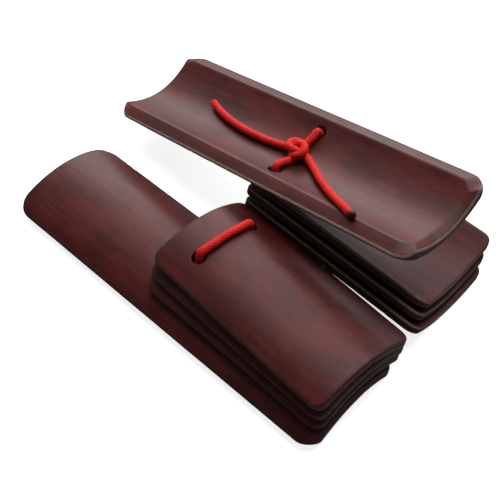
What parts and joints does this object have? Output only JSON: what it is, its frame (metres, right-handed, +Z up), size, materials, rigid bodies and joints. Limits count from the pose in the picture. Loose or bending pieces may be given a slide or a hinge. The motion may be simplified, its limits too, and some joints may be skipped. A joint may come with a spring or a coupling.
{
  "type": "pair of plate clappers",
  "caption": "Hand castanets: a pair of clappers, each a long curved wooden handle plate and short clap plates stacked on it and tied with a red cord.",
  "frame": {"origin": "under the middle of the pair as it lies at rest, on the surface it lies on", "axes": "+X along the left clapper from the handle end to the clap end, +Z up"},
  "size_m": [0.2012, 0.1382, 0.0665],
  "materials": {
    "lacquered_wood": "dark red-brown lacquer, satin to gloss, fine grain",
    "red_cord": "braided bright red cord"
  },
  "bodies": {
    "left_handle": {"left_handle_plate": "lacquered_wood", "left_cord_tie": "red_cord", "left_cord_tail_long": "red_cord", "left_cord_tail_short": "red_cord"},
    "left_clap_1": {"left_clap_plate_1": "lacquered_wood", "left_cord_leg_1a": "red_cord", "left_cord_leg_1b": "red_cord"},
    "left_clap_2": {"left_clap_plate_2": "lacquered_wood", "left_cord_leg_2a": "red_cord", "left_cord_leg_2b": "red_cord"},
    "left_clap_3": {"left_clap_plate_3": "lacquered_wood", "left_cord_bar": "red_cord"},
    "right_handle": {"right_handle_plate": "lacquered_wood", "right_cord_tie": "red_cord", "right_cord_tail_long": "red_cord", "right_cord_tail_short": "red_cord"},
    "right_clap_1": {"right_clap_plate_1": "lacquered_wood", "right_cord_leg_1a": "red_cord", "right_cord_leg_1b": "red_cord"},
    "right_clap_2": {"right_clap_plate_2": "lacquered_wood", "right_cord_leg_2a": "red_cord", "right_cord_leg_2b": "red_cord"},
    "right_clap_3": {"right_clap_plate_3": "lacquered_wood", "right_cord_bar": "red_cord"}
  },
  "joints": [
    {"name": "left_flap_1", "type": "hinge", "parent": "left_handle", "child": "left_clap_1", "pos_m": [-0.00681, -0.03185, 0.01604], "axis": [-0.0209, -0.9973, 0.0698], "range_deg": [0, 12]},
    {"name": "left_flap_2", "type": "hinge", "parent": "left_clap_1", "child": "left_clap_2", "pos_m": [-0.00666, -0.02885, 0.02203], "axis": [-0.0417, -0.9959, 0.0802], "range_deg": [0, 12]},
    {"name": "left_flap_3", "type": "hinge", "parent": "left_clap_2", "child": "left_clap_3", "pos_m": [-0.00675, -0.02595, 0.02813], "axis": [-0.0695, -0.9941, 0.0837], "range_deg": [0, 12]},
    {"name": "right_flap_1", "type": "hinge", "parent": "right_handle", "child": "right_clap_1", "pos_m": [-0.01038, 0.03683, 0.02247], "axis": [-0.0237, 0.9984, -0.0523], "range_deg": [-6, 3]},
    {"name": "right_flap_2", "type": "hinge", "parent": "right_clap_1", "child": "right_clap_2", "pos_m": [-0.00957, 0.03439, 0.0161], "axis": [-0.0114, 0.9961, -0.087], "range_deg": [0, 12]},
    {"name": "right_flap_3", "type": "hinge", "parent": "right_clap_2", "child": "right_clap_3", "pos_m": [-0.00775, 0.03146, 0.00975], "axis": [-0.0021, 0.9926, -0.1217], "range_deg": [0, 12]},
    {"name": "right_lift", "type": "slide", "parent": "left_handle", "child": "right_handle", "axis": [0, 0.342, 0.9397], "range_m": [0, 0.15]}
  ]
}
